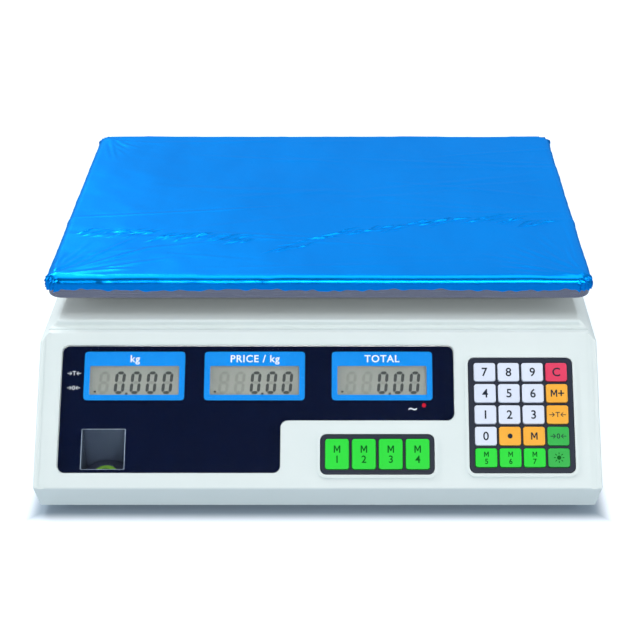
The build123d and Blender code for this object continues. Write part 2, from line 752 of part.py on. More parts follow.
def transformer():
    x, y = transformer_centre
    width, depth, height = transformer_size
    core = block((x - width / 2, x + width / 2), (y - depth / 2, y + depth / 2),
                 (floor_z, floor_z + height))
    core = fillet(core.edges().filter_by(Axis.Z), 1.5)
    coil = block((x - width / 4 - 2, x + width / 4 + 2),
                 (y - depth / 2 - coil_overhang, y + depth / 2 + coil_overhang),
                 (floor_z + 8, floor_z + height - 8))
    coil = fillet(coil.edges().filter_by(Axis.Z), 4.0)
    return core + coil


def socket_block(size, x_out, depth):
    """Block behind x_out with the two cut corners of an appliance inlet."""
    face = Rectangle(size[0], size[1])
    face = chamfer(face.vertices().group_by(Axis.Y)[-1], inlet_chamfer)
    plane = Plane(origin=(x_out, inlet_y, recess_centre[1]), x_dir=(0, 1, 0), z_dir=(1, 0, 0))
    return extrude(plane * face, amount=-depth)


def mains_inlet():
    face_x = recess_x + inlet_flange[2]
    plane = Plane(origin=(recess_x, inlet_y, recess_centre[1]), x_dir=(0, 1, 0), z_dir=(1, 0, 0))
    body = plane * slab((0, 0), inlet_flange[:2], 0, inlet_flange[2], 3.0)
    body += socket_block(inlet_body, recess_x, inlet_body[2])
    body -= socket_block(inlet_cavity, face_x + 1, inlet_cavity[2] + 1)
    back = face_x - inlet_cavity[2]
    length, thick, tall = inlet_pin
    for y, z in ((-inlet_pin_pitch, -1.5), (0, 2.5), (inlet_pin_pitch, -1.5)):
        y += inlet_y
        z += recess_centre[1]
        body += block((back - 1, back + length), (y - thick / 2, y + thick / 2),
                      (z - tall / 2, z + tall / 2))
    for side in (-1, 1):
        body -= plane * disc(side * 20, 0, -1, inlet_flange[2] + 1, 1.7)
    return body


switch_plane = Plane(origin=(recess_x + switch_bezel[2], rocker_y, recess_centre[1]),
                     x_dir=(0, 1, 0), z_dir=(1, 0, 0))


def power_switch_body():
    body = slab((0, 0), switch_bezel[:2], -switch_bezel[2], 0, 1.0)
    half_y, half_z = switch_body[0] / 2, switch_body[1] / 2
    body += block((-half_y, half_y), (-half_z, half_z),
                  (-switch_bezel[2] - switch_body[2], -switch_bezel[2]))
    half_y, half_z = switch_cavity[0] / 2, switch_cavity[1] / 2
    body -= block((-half_y, half_y), (-half_z, half_z), (-switch_cavity[2], 1))
    pin = Rotation(90, 0, 0) * Cylinder(rocker_pin_radius + thread_play,
                                        rocker_width + 2 * rocker_pin_length + 0.1)
    body -= Pos(0, 0, -rocker_pivot) * pin
    for step in (-1, 0, 1):
        low = -switch_bezel[2] - switch_body[2]
        body += block((5 * step - 0.4, 5 * step + 0.4), (-2.4, 2.4), (low - 7, low))
    return switch_plane * body


def power_rocker():
    points = [(-rocker_half, 2.2), (0, 0.4), (rocker_half, 2.2), (rocker_half, -3.0), (3.0, -6.0),
              (-3.0, -6.0), (-rocker_half, -3.0)]
    radii = [0.6, 2.0, 0.6, 1.0, 1.0, 1.0, 1.0]
    face = Plane.XZ * make_face(FilletPolyline(*points, radius=radii, close=True))
    paddle = extrude(face, amount=rocker_width / 2, both=True)
    pin = Rotation(90, 0, 0) * Cylinder(rocker_pin_radius, rocker_width + 2 * rocker_pin_length)
    paddle += Pos(0, 0, -rocker_pivot) * pin
    turned = Pos(0, 0, -rocker_pivot) * Rotation(0, rocker_tilt, 0) * Pos(0, 0, rocker_pivot) * paddle
    return switch_plane * turned


os.makedirs("parts", exist_ok=True)
save(upper_housing(housing_outer()), "upper_housing")
save(base_housing(), "base_housing")
for single in (platter, protective_film, platter_carrier, carrier_pads, load_cell, load_cell_top_bolts,
               load_cell_base_bolts, chassis_plate, overload_stop_screw, front_display_window,
               rear_display_window, lcd_panels, front_circuit_board, rear_circuit_board, keypad_mats,
               level_vial, level_vial_ring, battery, battery_door, transformer, mains_inlet,
               power_switch_body, power_rocker, case_screws):
    save(single(), single.__name__)
save(keypad_frame(numeric_point, numeric_size, numeric_places, numeric_key), "numeric_keypad_frame")
save(keypad_frame(memory_point, memory_size, memory_places, memory_key), "memory_keypad_frame")
for key_name, place in zip(numeric_names, numeric_places):
    save(key_cap(place, numeric_key), f"key_{key_name}")
for key_name, place in zip(memory_names, memory_places):
    save(key_cap(place, memory_key), f"key_{key_name}")
for corner, (x, y) in foot_places.items():
    save(foot_pad(x, y), f"foot_pad_{corner}")
    save(foot_stud(x, y), f"foot_stud_{corner}")
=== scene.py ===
import json
import math

import bpy
import numpy as np
from mathutils import Matrix, Vector


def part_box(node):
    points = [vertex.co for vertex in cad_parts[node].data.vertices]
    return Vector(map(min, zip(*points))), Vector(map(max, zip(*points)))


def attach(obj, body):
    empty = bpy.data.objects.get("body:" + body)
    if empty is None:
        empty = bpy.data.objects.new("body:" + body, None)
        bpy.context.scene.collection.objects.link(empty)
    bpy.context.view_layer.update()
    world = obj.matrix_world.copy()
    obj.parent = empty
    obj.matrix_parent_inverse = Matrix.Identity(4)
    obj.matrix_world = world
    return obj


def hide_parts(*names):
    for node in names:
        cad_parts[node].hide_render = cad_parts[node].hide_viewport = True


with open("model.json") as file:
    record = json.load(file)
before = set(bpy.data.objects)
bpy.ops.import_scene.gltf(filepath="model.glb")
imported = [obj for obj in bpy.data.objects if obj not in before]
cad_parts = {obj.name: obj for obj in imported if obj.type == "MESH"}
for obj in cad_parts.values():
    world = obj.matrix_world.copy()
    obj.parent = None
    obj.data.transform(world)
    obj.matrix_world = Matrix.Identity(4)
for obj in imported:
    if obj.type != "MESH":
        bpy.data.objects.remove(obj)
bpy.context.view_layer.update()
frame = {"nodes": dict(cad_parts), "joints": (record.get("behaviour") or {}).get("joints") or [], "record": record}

mm = 0.001
nodes = frame["nodes"]
scene = bpy.context.scene
print("frame loaded with", len(nodes), "nodes")


def linear(hexColour):  # sRGB hex to linear, with full alpha
    channels = [int(hexColour[start:start + 2], 16) / 255 for start in (0, 2, 4)]
    return (*[c / 12.92 if c <= 0.04045 else ((c + 0.055) / 1.055) ** 2.4 for c in channels], 1.0)


def addNode(tree, kind, values=None, links=None, **settings):
    node = tree.nodes.new(kind)
    for name, value in settings.items():
        setattr(node, name, value)
    for socket, value in (values or {}).items():
        node.inputs[socket].default_value = value
    for socket, source in (links or {}).items():
        tree.links.new(source, node.inputs[socket])
    return node


def startMaterial(name, **sockets):
    material = bpy.data.materials.new(name)
    material.use_nodes = True
    tree = material.node_tree
    shader = tree.nodes["Principled BSDF"]
    for socket, value in sockets.items():
        shader.inputs[socket.replace("_", " ")].default_value = value
    coordinates = addNode(tree, "ShaderNodeTexCoord").outputs["Object"]
    return material, tree, shader, coordinates


def mottle(tree, shader, coordinates, dark, light, size):  # slow change between two shades, size in mm
    noise = addNode(tree, "ShaderNodeTexNoise", {"Scale": 1 / (size * mm), "Detail": 4.0, "Roughness": 0.55},
                    {"Vector": coordinates})
    ramp = addNode(tree, "ShaderNodeMix", {6: linear(dark), 7: linear(light)}, {0: noise.outputs["Fac"]},
                   data_type="RGBA")
    tree.links.new(ramp.outputs[2], shader.inputs["Base Color"])
    return ramp


def grain(tree, shader, coordinates, size, depth, roughness, spread):  # fine bump and uneven gloss
    noise = addNode(tree, "ShaderNodeTexNoise", {"Scale": 1 / (size * mm), "Detail": 3.0},
                    {"Vector": coordinates})
    bump = addNode(tree, "ShaderNodeBump", {"Strength": 0.5, "Distance": depth * mm},
                   {"Height": noise.outputs["Fac"]})
    tree.links.new(bump.outputs["Normal"], shader.inputs["Normal"])
    wide = addNode(tree, "ShaderNodeTexNoise", {"Scale": 1 / (size * 18 * mm), "Detail": 2.0},
                   {"Vector": coordinates})
    gloss = addNode(tree, "ShaderNodeMapRange", {"To Min": roughness - spread, "To Max": roughness + spread},
                    {"Value": wide.outputs["Fac"]})
    tree.links.new(gloss.outputs["Result"], shader.inputs["Roughness"])
    return bump


def mouldedPlastic(name, dark, light, roughness, grainSize=0.7, depth=0.02, **sockets):
    material, tree, shader, coordinates = startMaterial(name, IOR=1.5, **sockets)
    mottle(tree, shader, coordinates, dark, light, 35)
    grain(tree, shader, coordinates, grainSize, depth, roughness, 0.05)
    return material


def brushedMetal(name, dark, light, roughness, stretch, lineSize=0.5):
    # stretch squeezes the noise into lines: the smaller the number, the longer they run on that axis
    material, tree, shader, coordinates = startMaterial(name, Metallic=1.0)
    mapping = addNode(tree, "ShaderNodeMapping", {"Scale": stretch}, {"Vector": coordinates})
    lines = addNode(tree, "ShaderNodeTexNoise", {"Scale": 1 / (lineSize * mm), "Detail": 5.0},
                    {"Vector": mapping.outputs["Vector"]})
    shade = addNode(tree, "ShaderNodeMix", {6: linear(dark), 7: linear(light)}, {0: lines.outputs["Fac"]},
                    data_type="RGBA")
    tree.links.new(shade.outputs[2], shader.inputs["Base Color"])
    gloss = addNode(tree, "ShaderNodeMapRange", {"To Min": roughness - 0.08, "To Max": roughness + 0.1},
                    {"Value": lines.outputs["Fac"]})
    tree.links.new(gloss.outputs["Result"], shader.inputs["Roughness"])
    bump = addNode(tree, "ShaderNodeBump", {"Strength": 0.3, "Distance": 0.01 * mm},
                   {"Height": lines.outputs["Fac"]})
    tree.links.new(bump.outputs["Normal"], shader.inputs["Normal"])
    return material


def clearAcrylic():  # cast acrylic sheet, flame-polished edge: clear, sharp reflection
    material, tree, shader, coordinates = startMaterial(
        "clearCastAcrylic", IOR=1.49, Roughness=0.03, Transmission_Weight=1.0)
    smear = addNode(tree, "ShaderNodeTexNoise", {"Scale": 1 / (60 * mm), "Detail": 3.0},
                    {"Vector": coordinates})
    gloss = addNode(tree, "ShaderNodeMapRange", {"To Min": 0.01, "To Max": 0.06},
                    {"Value": smear.outputs["Fac"]})
    tree.links.new(gloss.outputs["Result"], shader.inputs["Roughness"])
    clear = addNode(tree, "ShaderNodeBsdfTransparent", {"Color": (0.97, 0.97, 0.98, 1.0)})
    path = addNode(tree, "ShaderNodeLightPath")
    mix = addNode(tree, "ShaderNodeMixShader", {}, {0: path.outputs["Is Shadow Ray"],
                                                    1: shader.outputs["BSDF"], 2: clear.outputs["BSDF"]})
    tree.links.new(mix.outputs["Shader"], tree.nodes["Material Output"].inputs["Surface"])
    return material


def polyFilm():  # blown polyethylene film, dyed blue, tight on steel that shines back through it in blue
    material, tree, shader, coordinates = startMaterial(
        "dyedPolyethyleneFilm", IOR=1.5, Metallic=0.9, Specular_Tint=(0.1, 0.7, 1.0, 1.0),
        Coat_Weight=0.02, Coat_Roughness=0.1)
    mapping = addNode(tree, "ShaderNodeMapping", {"Scale": (1.0, 0.35, 1.0)}, {"Vector": coordinates})
    cloud = addNode(tree, "ShaderNodeTexNoise", {"Scale": 1 / (45 * mm), "Detail": 5.0, "Roughness": 0.6},
                    {"Vector": mapping.outputs["Vector"]})
    shade = addNode(tree, "ShaderNodeMix", {6: linear("0088F0"), 7: linear("009AFF")},
                    {0: cloud.outputs["Fac"]}, data_type="RGBA")
    tree.links.new(shade.outputs[2], shader.inputs["Base Color"])
    pull = addNode(tree, "ShaderNodeMapping", {"Scale": (1.0, 0.12, 1.0), "Rotation": (0, 0, 0.5)},
                   {"Vector": coordinates})
    lines = addNode(tree, "ShaderNodeTexNoise", {"Scale": 1 / (3.0 * mm), "Detail": 4.0},
                    {"Vector": pull.outputs["Vector"]})
    bump = addNode(tree, "ShaderNodeBump", {"Strength": 0.25, "Distance": 0.05 * mm},
                   {"Height": lines.outputs["Fac"]})
    tree.links.new(bump.outputs["Normal"], shader.inputs["Normal"])
    gloss = addNode(tree, "ShaderNodeMapRange", {"To Min": 0.24, "To Max": 0.4},
                    {"Value": cloud.outputs["Fac"]})
    tree.links.new(gloss.outputs["Result"], shader.inputs["Roughness"])
    return material


def displayGlass():  # reflective liquid crystal cell: grey-olive polariser with a soft sheen
    material, tree, shader, coordinates = startMaterial("reflectiveDisplayCell", IOR=1.5)
    mottle(tree, shader, coordinates, "959B94", "A6ABA2", 25)
    grain(tree, shader, coordinates, 0.9, 0.005, 0.38, 0.03)
    return material


def screenInk(name, dark, light, roughness=0.45):  # screen-printed ink: even, slightly grainy
    material, tree, shader, coordinates = startMaterial(name, Specular_IOR_Level=0.05)
    mottle(tree, shader, coordinates, dark, light, 6)
    grain(tree, shader, coordinates, 0.5, 0.004, roughness, 0.03)
    return material


def solderMask():  # epoxy board under green solder mask, with copper tracks showing as lighter lines
    material, tree, shader, coordinates = startMaterial("solderMaskEpoxy", IOR=1.5, Coat_Weight=0.3)
    tracks = addNode(tree, "ShaderNodeTexBrick", {"Color1": linear("0E5A34"), "Color2": linear("0B4A2C"),
                     "Mortar": linear("1F8A52"), "Scale": 1 / (9 * mm), "Mortar Size": 0.05},
                     {"Vector": coordinates})
    tree.links.new(tracks.outputs["Color"], shader.inputs["Base Color"])
    grain(tree, shader, coordinates, 1.2, 0.02, 0.4, 0.05)
    return material


def laminatedCore():  # varnished steel laminations, edge on: fine stacked lines
    material, tree, shader, coordinates = startMaterial("varnishedLaminations", Metallic=0.6)
    wave = addNode(tree, "ShaderNodeTexWave", {"Scale": 1 / (3.2 * mm), "Distortion": 0.4, "Detail": 2.0},
                   {"Vector": coordinates}, bands_direction="Z")
    shade = addNode(tree, "ShaderNodeMix", {6: linear("2B2723"), 7: linear("5C554D")},
                    {0: wave.outputs["Fac"]}, data_type="RGBA")
    tree.links.new(shade.outputs[2], shader.inputs["Base Color"])
    grain(tree, shader, coordinates, 0.6, 0.03, 0.5, 0.08)
    return material


def levelLiquid():  # dyed spirit in a clear vial
    material, tree, shader, coordinates = startMaterial("dyedSpiritVial", IOR=1.4, Coat_Weight=1.0,
                                                         Coat_Roughness=0.03)
    mottle(tree, shader, coordinates, "7CC832", "A6E45A", 5)
    grain(tree, shader, coordinates, 2.0, 0.01, 0.2, 0.04)
    return material


# grade of plastic or metal for every material slot of the record
finishes = {
    # injection-moulded ABS: even off-white, fine satin spark finish
    "housing_abs": mouldedPlastic("mouldedAbsOffWhite", "D8E4E4", "E0EAEA", 0.42),
    # brushed stainless sheet: long lines along X; its lilac-grey base colour is darker than bare steel, a painted
    # dark reflection of the shaded deck below the pan
    "pan_steel": brushedMetal("brushedStainless", "7E7A88", "A19DAA", 0.24, (0.02, 1.0, 1.0)),
    "film_blue": polyFilm(),
    # powder coat: orange-peel texture
    "carrier_black": mouldedPlastic("powderCoatBlack", "141619", "1C1E22", 0.5, 0.8, 0.06),
    "rubber_black": mouldedPlastic("mouldedRubberBlack", "17181A", "212225", 0.75, 0.6, 0.05),
    "cell_aluminium": brushedMetal("milledAluminium", "A9ADB2", "CDD0D4", 0.35, (1.0, 0.05, 1.0)),
    "zinc_steel": brushedMetal("zincPlatedSteel", "A7ABA9", "D0D4D0", 0.3, (1.0, 1.0, 0.3), 1.5),
    "window_acrylic": clearAcrylic(),
    "lcd_glass": displayGlass(),
    "board_green": solderMask(),
    "mat_rubber": mouldedPlastic("castSiliconeGrey", "686C70", "7A7E82", 0.6),
    "vial_green": levelLiquid(),
    "ring_dark": mouldedPlastic("mouldedNylonSlate", "2A3244", "37415A", 0.4),
    "battery_case": mouldedPlastic("mouldedAbsBlack", "1A1B1E", "24262A", 0.45),
    "core_steel": laminatedCore(),
    "socket_black": mouldedPlastic("mouldedNylonBlack", "101113", "18191C", 0.4),
    "rocker_black": mouldedPlastic("polishedNylonBlack", "0C0D0F", "141518", 0.22),
    "frame_navy": mouldedPlastic("mouldedAbsNavy", "0C1626", "13203A", 0.4),
    "key_pale": mouldedPlastic("mouldedKeyPale", "D6E0F2", "E0E8F6", 0.4, 0.5),
    "key_red": mouldedPlastic("mouldedKeyRed", "DC2F58", "E63C64", 0.4, 0.5),
    "key_orange": mouldedPlastic("mouldedKeyOrange", "F2A726", "F9B43A", 0.4, 0.5),
    "key_green": mouldedPlastic("mouldedKeyGreen", "1DA83C", "27B648", 0.4, 0.5),
    "key_bright_green": mouldedPlastic("mouldedKeyBrightGreen", "0ED42A", "16E236", 0.4, 0.5),
}
inks = {
    "navy": screenInk("screenInkNavy", "000A26", "000E30"),
    "blue": screenInk("screenInkBlue", "108CE6", "1C96F0"),
    "white": screenInk("screenInkWhite", "E4ECF4", "F2F6FA"),
    "legend": screenInk("padInkCharcoal", "232A36", "2E3644"),
    "legendGreen": screenInk("padInkDarkGreen", "0A5A1C", "0E6A24"),
    "lit": screenInk("darkenedSegment", "4A4F4E", "545958"),
    "ghost": screenInk("faintSegment", "90968F", "9A9F97"),
    # pale blue-grey ink for the ring round the level window: a painted highlight of the window's edge
    "edge": screenInk("paintedEdgeHighlight", "8496AC", "A2B2C4"),
    "red": screenInk("signalLampRed", "B01228", "C41C34"),
}
for row in frame["record"]["subparts"]:
    mesh = nodes[row["node"]].data
    mesh.materials.clear()
    mesh.materials.append(finishes[row["material_slot"]])
print("materials done")


def addPiece(name, mesh, material, body, smoothAngle=None):
    mesh.name = name
    mesh.materials.clear()
    mesh.materials.append(material)
    piece = bpy.data.objects.new(name, mesh)
    scene.collection.objects.link(piece)
    if smoothAngle:
        mesh.shade_smooth()
        mesh.set_sharp_from_angle(angle=math.radians(smoothAngle))
    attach(piece, body)
    return piece


def evaluatedMesh(piece):  # plain mesh of a curve, text or modified object, which is then removed
    bpy.context.view_layer.update()
    graph = bpy.context.evaluated_depsgraph_get()
    mesh = bpy.data.meshes.new_from_object(piece.evaluated_get(graph), depsgraph=graph)
    data = piece.data
    bpy.data.objects.remove(piece)
    if isinstance(data, bpy.types.Curve):
        bpy.data.curves.remove(data)
    return mesh


def flatShape(outlines, thickness):  # plate with holes; the first outline is the outer one
    curve = bpy.data.curves.new("outline", "CURVE")
    curve.dimensions = "2D"
    curve.fill_mode = "BOTH"
    curve.extrude = thickness / 2
    for points in outlines:
        spline = curve.splines.new("POLY")
        spline.points.add(len(points) - 1)
        spline.use_cyclic_u = True
        for point, (x, y) in zip(spline.points, points):
            point.co = (x, y, 0.0, 1.0)
    piece = bpy.data.objects.new("outline", curve)
    scene.collection.objects.link(piece)
    return evaluatedMesh(piece)


def roundedOutline(corners, radius, steps=6):  # corner points of a polygon, each rounded off with an arc
    points = []
    count = len(corners)
    for index, corner in enumerate(corners):
        here = Vector(corner)
        before = (Vector(corners[index - 1]) - here).normalized()
        after = (Vector(corners[(index + 1) % count]) - here).normalized()
        start, end = here + before * radius, here + after * radius
        centre = here + (before + after) * radius
        for step in range(steps + 1):
            angle = step / steps * math.pi / 2
            points.append(centre + (start - centre) * math.cos(angle) + (end - centre) * math.sin(angle))
    return [(p.x, p.y) for p in points]


def rectangleOutline(x, y, width, height, radius, steps=6):
    w, h = width / 2, height / 2
    return roundedOutline([(x - w, y - h), (x + w, y - h), (x + w, y + h), (x - w, y + h)], radius, steps)


def textMesh(words, height, bold=0.0, spacing=1.0):  # lettering in mm, by the height of its capitals
    curve = bpy.data.curves.new("lettering", "FONT")
    curve.body = words
    curve.size = height / 0.7
    curve.align_x = "CENTER"
    curve.align_y = "CENTER"
    curve.offset = bold
    curve.space_character = spacing
    curve.space_line = 0.92
    curve.extrude = 0.03
    curve.resolution_u = 4
    piece = bpy.data.objects.new("lettering", curve)
    scene.collection.objects.link(piece)
    return evaluatedMesh(piece)


def joined(meshes):  # several meshes as one
    vertices, faces = [], []
    for mesh in meshes:
        first = len(vertices)
        vertices += [v.co.copy() for v in mesh.vertices]
        faces += [[first + i for i in polygon.vertices] for polygon in mesh.polygons]
        bpy.data.meshes.remove(mesh)
    made = bpy.data.meshes.new("joined")
    made.from_pydata(vertices, [], faces)
    return made


# the two sloping faces, found again from the windows that lie in them
panel = {"tilt": math.acos(-frame["joints"][-1]["axis"][2]), "windowTop": 8.1 * mm, "windowBottom": 87.1 * mm,
         "sink": 0.4 * mm, "windowBack": 2.4 * mm}
rear = {"windowHeight": 44 * mm, "sheet": 2 * mm, "windowTop": 14 * mm}


def frontMatrix():
    low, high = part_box("front_display_window")
    s, c = math.sin(panel["tilt"]), math.cos(panel["tilt"])
    creaseY = low.y + panel["windowBottom"] * c - panel["sink"] * s
    creaseZ = high.z + panel["windowTop"] * s + panel["sink"] * c
    return Matrix(((1, 0, 0, 0), (0, c, -s, creaseY), (0, s, c, creaseZ), (0, 0, 0, 1)))


def rearMatrix():
    low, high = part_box("rear_display_window")
    height, sheet = rear["windowHeight"], rear["sheet"]
    dy, dz = high.y - low.y, high.z - low.z
    s = (height * dy - sheet * dz) / (height ** 2 - sheet ** 2)
    c = math.sqrt(1 - s * s)
    topY = high.y - (rear["windowTop"] + height) * s + panel["sink"] * c
    topZ = low.z + (rear["windowTop"] + height) * c + panel["windowBack"] * s
    return Matrix(((-1, 0, 0, 0), (0, -s, c, topY), (0, c, s, topZ), (0, 0, 0, 1)))


front = frontMatrix()
back = rearMatrix()


camera = {"lens": 78.3, "pitch": 30.0, "ahead": 759.4 * mm, "above": 408.4 * mm, "side": 20 * mm,
          "shift": -0.048}


def makeCamera():
    low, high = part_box("platter")
    data = bpy.data.cameras.new("camera")
    data.lens = camera["lens"]
    data.sensor_width = 36.0
    data.shift_x = camera["shift"]
    piece = bpy.data.objects.new("camera", data)
    piece.location = (camera["side"], low.y - camera["ahead"], high.z + camera["above"])
    piece.rotation_euler = (math.radians(90 - camera["pitch"]), 0, 0)
    scene.collection.objects.link(piece)
    scene.camera = piece


makeCamera()
print("camera placed")

# curved mouldings and castings: doubles merged, shaded round, split again at true corners
for name in ("upper_housing", "base_housing", "platter", "mains_inlet", "power_rocker", "battery_door"):
    piece = nodes[name]
    piece.data.shade_smooth()
    weld = piece.modifiers.new("weld", "WELD")
    weld.merge_threshold = 0.002 * mm
    split = piece.modifiers.new("corners", "EDGE_SPLIT")
    split.split_angle = math.radians(28)
print("mouldings shaded")

# film over the pan, in mm: row and column steps of the sheet, how far it wraps, and its creases by number
film = {"stepX": 1.05, "edgeStep": 0.8, "edgeTo": 25.0, "fineStep": 0.6, "coarseStep": 1.5,
        "fineFrom": -88.0, "fineTo": -8.0, "wrap": 15.5, "edgeRadius": 5.3, "coreCorner": 5.0, "gap": 0.1,
        "seed": 7, "tearLow": 10.6, "tearSpread": 1.6, "feathers": 74, "strays": 40, "bunch": 1.9}


def featherLine(x):  # how far the run of short creases lies behind the middle of the pan, in mm
    if x < -35:
        return -57 + 5 * math.sin(x / 31)
    return -72 + 37 * min(max((x + 28) / 96, 0), 1) + 3 * math.sin(x / 14)


def creaseHeight(x, y, rng):  # height of every pulled crease over the flat sheet, in mm
    height = np.zeros_like(x)

    def ridge(cx, cy, angle, half, width, rise):
        along = (x - cx) * math.cos(angle) + (y - cy) * math.sin(angle)
        across = -(x - cx) * math.sin(angle) + (y - cy) * math.cos(angle)
        across = across + 0.8 * np.sin(along / half * 2.2 + cx)
        near = (np.abs(along) < half * 1.6) & (np.abs(across) < width * 6)
        a, c = along[near] / half, across[near] / width
        height[near] += rise * np.exp(-a ** 4) * (np.exp(-c * c) - 0.45 * np.exp(-(c - 1.7) ** 2))

    front, left = y.min() + film["wrap"], x.min() + film["wrap"]
    right = -left
    for index in range(film["feathers"]):  # short slanting creases, side by side in two long runs
        cx = left + 10 + (index + rng.uniform(-0.4, 0.4)) / film["feathers"] * (right - left - 22)
        if -46 < cx < -26:
            continue
        lean = math.radians(rng.uniform(20, 38))
        ridge(cx, featherLine(cx) + rng.uniform(-4, 4), lean, rng.uniform(4, 11), rng.uniform(0.5, 0.8),
              rng.uniform(0.35, 0.85))
    for index in range(film["strays"]):  # long faint pulls across the sheet
        ridge(rng.uniform(left, right), rng.uniform(front, -front + 60), math.radians(rng.uniform(-16, 16)),
              rng.uniform(25, 80), rng.uniform(1.4, 3.0), rng.uniform(0.08, 0.26))
    for corner, turn in ((left, 1), (right, -1)):  # pulls that fan out from the two front corners
        for index in range(11):
            angle = math.radians(8 + 8 * index)
            reach = rng.uniform(16, 52)
            ridge(corner + turn * reach * 0.75 * math.cos(angle), front + reach * 0.75 * math.sin(angle),
                  angle if turn > 0 else math.pi - angle, reach * 0.62, rng.uniform(1.2, 2.0),
                  rng.uniform(0.2, 0.6))
    rear = y.max() - film["wrap"]
    for index in range(9):  # crimped rear left corner
        angle = math.radians(-8 - 9 * index)
        reach = rng.uniform(12, 34)
        ridge(left + reach * 0.75 * math.cos(angle), rear + reach * 0.75 * math.sin(angle), angle,
              reach * 0.6, 1.3, rng.uniform(0.15, 0.4))
    return height


def rollingNoise(x, y, rng, length, count=9):  # smooth random swell, about one unit high
    total = np.zeros_like(x)
    for index in range(count):
        angle, phase = rng.uniform(0, 2 * math.pi), rng.uniform(0, 2 * math.pi)
        wave = length * rng.uniform(0.6, 1.7)
        total += np.sin((x * math.cos(angle) + y * math.sin(angle)) / wave * 2 * math.pi + phase)
    return total / math.sqrt(count)


def wrapFilm():
    rng = np.random.default_rng(film["seed"])
    low, high = (np.array(corner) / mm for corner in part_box("platter"))
    centre = (low + high) / 2
    coreX = (high[0] - low[0]) / 2 - film["edgeRadius"] + 0.3
    coreY = (high[1] - low[1]) / 2 - film["edgeRadius"] + 0.3
    limitX, limitY = coreX + film["wrap"], coreY + film["wrap"]
    columns = np.arange(-limitX, limitX, film["stepX"])
    rows = np.concatenate([np.arange(-limitY, film["edgeTo"] - limitY, film["edgeStep"]),
                           np.arange(film["edgeTo"] - limitY, film["fineFrom"], film["coarseStep"]),
                           np.arange(film["fineFrom"], film["fineTo"], film["fineStep"]),
                           np.arange(film["fineTo"], limitY, film["coarseStep"])])
    countX, countY = len(columns), len(rows)
    flatX, flatY = np.meshgrid(columns, rows)
    qx = np.abs(flatX) - (coreX - film["coreCorner"])
    qy = np.abs(flatY) - (coreY - film["coreCorner"])
    outX, outY = np.maximum(qx, 0), np.maximum(qy, 0)
    length = np.hypot(outX, outY)
    past = length + np.minimum(np.maximum(qx, qy), 0) - film["coreCorner"]  # distance past the flat top
    safe = np.maximum(length, 1e-6)
    normalX, normalY = np.sign(flatX) * outX / safe, np.sign(flatY) * outY / safe
    radius = film["edgeRadius"]
    quarter = radius * math.pi / 2
    bunched = np.clip(outX * outY / 40, 0, 1)
    along = np.where(np.abs(normalX) > np.abs(normalY), flatY, flatX)
    run = along + 4.0 * np.sin(along / 23.0)
    ragged = 0.5 + 0.32 * np.sin(run / 17.0 + 1) + 0.18 * np.sin(run / 4.3)
    tear = film["tearLow"] + film["tearSpread"] * ragged
    tear += 0.35 * np.sin(run / 2.1) + 0.25 * np.sin(run / 1.27 + 2) + 1.2 * bunched
    kept = past < tear
    over = np.minimum(np.maximum(past, 0), tear)  # what lies past the tear is drawn in to its edge
    turn = np.minimum(over, quarter) / radius
    down = np.maximum(over - quarter, 0)
    # pleats where the sheet turns down, deeper at the corners where there is too much of it
    around = np.arctan2(normalY, normalX)
    edgeWave = 0.55 * np.sin(run / 3.1) + 0.45 * np.sin(run / 1.9 + 1.7) + 0.6 * np.sin(run / 7.3 + 0.6)
    edgeWave *= 0.5 + 0.5 * np.sin(run / 41.0 + 2.0) ** 2
    pleat = bunched * np.sin(around * 22.0 + 0.8 * np.sin(around * 9.0)) * film["bunch"]
    ripple = 0.26 * edgeWave * np.clip(over / 5, 0, 1) + pleat * np.clip(over / 6, 0, 1)
    lifted = film["gap"] + np.maximum(0, ripple)
    top = creaseHeight(flatX, flatY, rng) + 0.14 * rollingNoise(flatX, flatY, rng, 70) + 0.2
    top += 0.05 * rollingNoise(flatX, flatY, rng, 17)
    lifted = lifted + np.maximum(top, 0) * np.clip(1.25 - over / 14, 0, 1)
    outward = np.maximum(past, 0)
    x = flatX - normalX * outward + normalX * (radius + lifted) * np.sin(turn)
    y = flatY - normalY * outward + normalY * (radius + lifted) * np.sin(turn)
    z = high[2] - radius + (radius + lifted) * np.cos(turn) - down
    vertices = np.stack([x + centre[0], y + centre[1], z], axis=-1).reshape(-1, 3) * mm
    index = np.arange(countX * countY).reshape(countY, countX)
    quads = np.stack([index[:-1, :-1], index[:-1, 1:], index[1:, 1:], index[1:, :-1]], axis=-1).reshape(-1, 4)
    keptQuads = quads[kept.reshape(-1)[quads].any(axis=1)]
    mesh = bpy.data.meshes.new("film")
    used, renumbered = np.unique(keptQuads, return_inverse=True)
    mesh.from_pydata(vertices[used].tolist(), [], renumbered.reshape(-1, 4).tolist())
    piece = addPiece("wrapped_film", mesh, finishes["film_blue"], "pan")
    mesh.shade_smooth()
    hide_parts("protective_film")


wrapFilm()
print("film wrapped")

# printing on the back of the two windows, in mm down the face from its upper crease
prints = {"lift": -2.44, "thickness": 0.04, "left": -158.2, "right": 83.4, "neck": -23.0, "top": 8.3,
          "mid": 54.7, "bottom": 86.9, "corner": 4.3, "frameWidth": 62.0, "frameHeight": 30.5,
          "frameRise": 2.8, "viewWidth": 55.0, "viewHeight": 18.0, "viewLeft": -144.5, "viewRight": -117.5,
          "viewTop": 60.0, "viewBottom": 85.0, "letter": 4.4, "frontDrop": 29.8, "rearDrop": 36.0,
          "rearWidth": 261.6, "rearHeight": 43.6, "rearCentre": 36.0}
frontDisplays = {"weight": (-113.4, "kg", "0.000"), "unit": (-39.3, "PRICE / kg", "0.00"),
                 "total": (39.3, "TOTAL", "0.00")}
rearDisplays = {"rearTotal": (-82.0, "TOTAL", "0.00"), "rearUnit": (0.0, "PRICE / kg", "0.00"),
                "rearWeight": (82.0, "kg", "0.000")}


def placed(name, mesh, matrix, material, body="housing"):
    mesh.transform(Matrix.Scale(mm, 4))
    mesh.transform(matrix)
    return addPiece(name, mesh, material, body)


